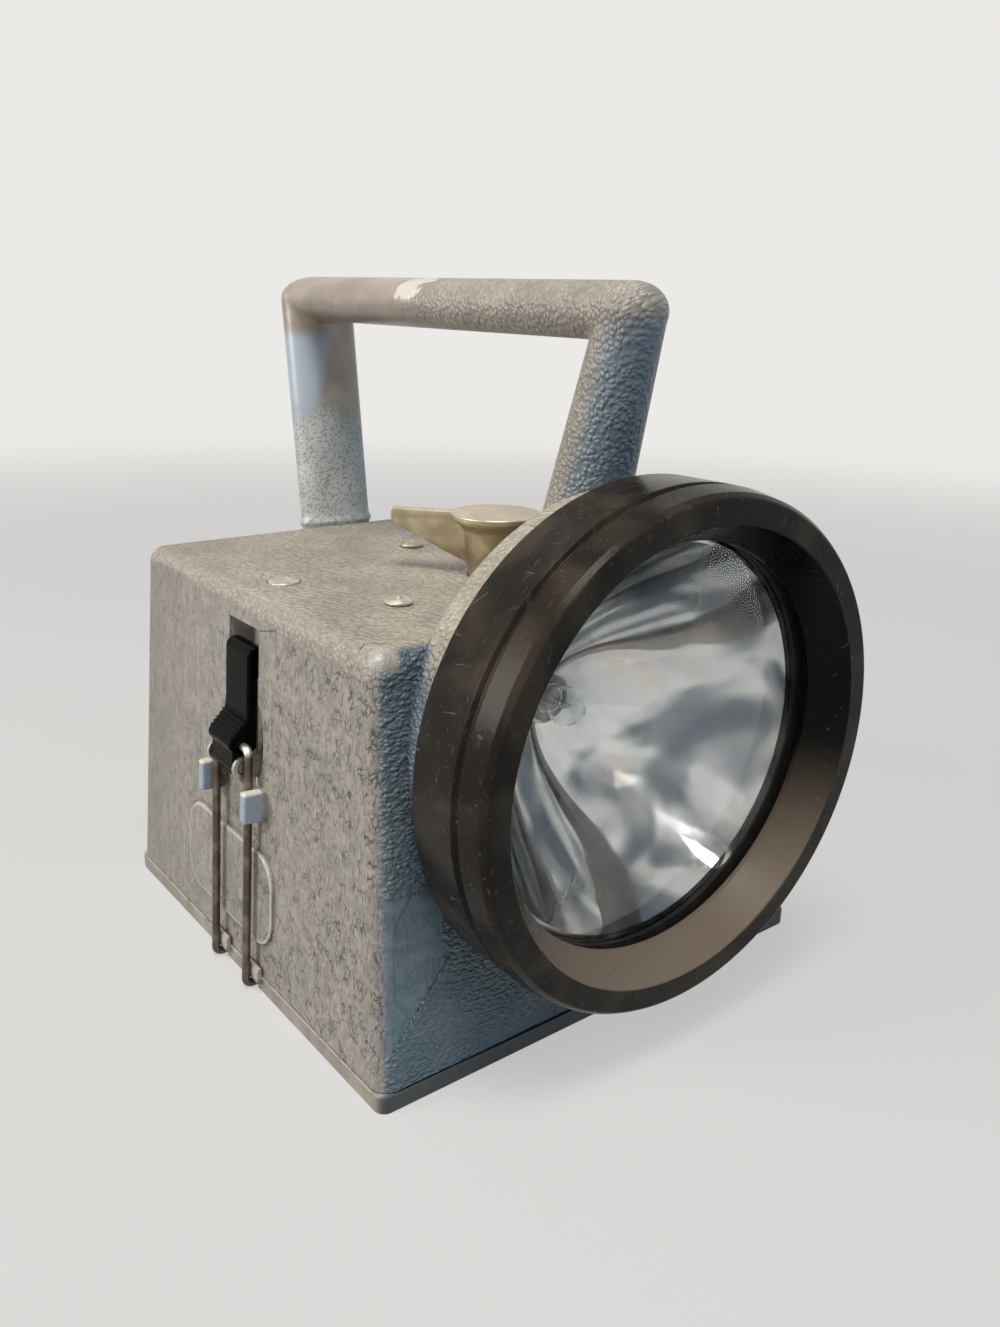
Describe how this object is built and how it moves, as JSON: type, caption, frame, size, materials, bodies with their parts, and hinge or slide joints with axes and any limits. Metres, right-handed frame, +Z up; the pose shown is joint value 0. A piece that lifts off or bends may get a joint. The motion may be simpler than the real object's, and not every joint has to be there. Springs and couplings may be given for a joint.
{
  "type": "morse signal lamp",
  "caption": "Cast alloy signal lamp with a bow handle over the top, a round lamp head in a black screwed bezel, a press-and-turn key and a lever latch on the side.",
  "frame": {"origin": "middle of the base plate's underside", "axes": "+Z up, the lamp head looks along -Y, the lever latch is on the -X side"},
  "size_m": [0.1546, 0.1888, 0.1909],
  "materials": {
    "cast_alloy": "grey cast alloy, hammered texture, worn and stained",
    "rivet_alloy": "pale dull alloy",
    "bezel_black": "satin black with scuffs",
    "black_rubber": "dull black",
    "black_plastic": "glossy black moulding",
    "reflector_plate": "polished with smudges",
    "clear_glass": "clear",
    "nickel": "worn nickel over brass",
    "brass": "plain",
    "bright_steel": "plated",
    "dark_steel": "browned spring wire",
    "fibre_board": "pressed fibre",
    "cell_jacket": "plain jacket"
  },
  "bodies": {
    "lamp_body": {"casing": "cast_alloy", "base_plate": "cast_alloy", "sealing_cord": "black_rubber", "cell_pad": "black_rubber", "base_claw_1": "bright_steel", "base_claw_2": "bright_steel", "cell_tray": "black_plastic", "dry_cell_1": "cell_jacket", "dry_cell_2": "cell_jacket", "dry_cell_3": "cell_jacket", "dry_cell_4": "cell_jacket", "cell_spring_1": "bright_steel", "cell_spring_2": "bright_steel", "cell_spring_3": "bright_steel", "cell_spring_4": "bright_steel", "terminal_board": "fibre_board", "board_screw_1": "bright_steel", "board_screw_2": "bright_steel", "reflector": "reflector_plate", "bulb_glass": "clear_glass", "bulb_cap": "brass", "bulb_holder": "bright_steel", "tail_spring": "brass", "tail_disc": "fibre_board", "key_cup": "brass", "key_spring": "bright_steel", "contact_plate": "fibre_board", "contact_strip_1": "brass", "contact_strip_2": "brass", "top_rivet_1": "rivet_alloy", "top_rivet_2": "rivet_alloy", "top_rivet_3": "rivet_alloy", "rivet_spacer_1": "bright_steel", "rivet_spacer_2": "bright_steel", "rivet_spacer_3": "bright_steel", "blanking_disc": "rivet_alloy", "latch_bracket": "bright_steel", "lever_pin": "bright_steel", "bracket_rivet_1": "bright_steel", "bracket_rivet_2": "bright_steel", "bulb_lead": "black_plastic"},
    "glass_carrier": {"front_glass": "clear_glass", "glass_gasket": "black_rubber"},
    "bezel": {"bezel_ring": "bezel_black"},
    "key_carrier": {"contact_bridge": "brass"},
    "knob": {"switch_knob": "nickel", "stem_nut": "brass"},
    "lever": {"latch_lever": "black_plastic"},
    "bail": {"wire_bail": "dark_steel"}
  },
  "joints": [
    {"name": "glass_travel", "type": "slide", "parent": "lamp_body", "child": "glass_carrier", "axis": [0, -1, 0], "range_m": [0, 0.004]},
    {"name": "bezel_turn", "type": "hinge", "parent": "glass_carrier", "child": "bezel", "pos_m": [0, -0.0876, 0.0814], "axis": [0, -1, 0], "range_deg": [0, 720]},
    {"name": "key_press", "type": "slide", "parent": "lamp_body", "child": "key_carrier", "axis": [0, 0, -1], "range_m": [0, 0.0025], "stiffness_N_per_m": 1200, "springref_m": -0.002, "deforming": ["key_spring"]},
    {"name": "key_turn", "type": "hinge", "parent": "key_carrier", "child": "knob", "pos_m": [0, -0.0185, 0.12], "axis": [0, 0, -1], "range_deg": [0, 90]},
    {"name": "lever_swing", "type": "hinge", "parent": "lamp_body", "child": "lever", "pos_m": [-0.07482, 0, 0.0659], "axis": [0, -1, 0], "range_deg": [0, 150]},
    {"name": "bail_swing", "type": "hinge", "parent": "lever", "child": "bail", "pos_m": [-0.07398, 0, 0.07136], "axis": [0, -1, 0], "range_deg": [-162.5, 0]}
  ],
  "couplings": [
    {"joint": "glass_travel", "follows": "bezel_turn", "m_per_rad": 0.0003183},
    {"joint": "bail_swing", "follows": "lever_swing", "ratio": -1.08}
  ]
}
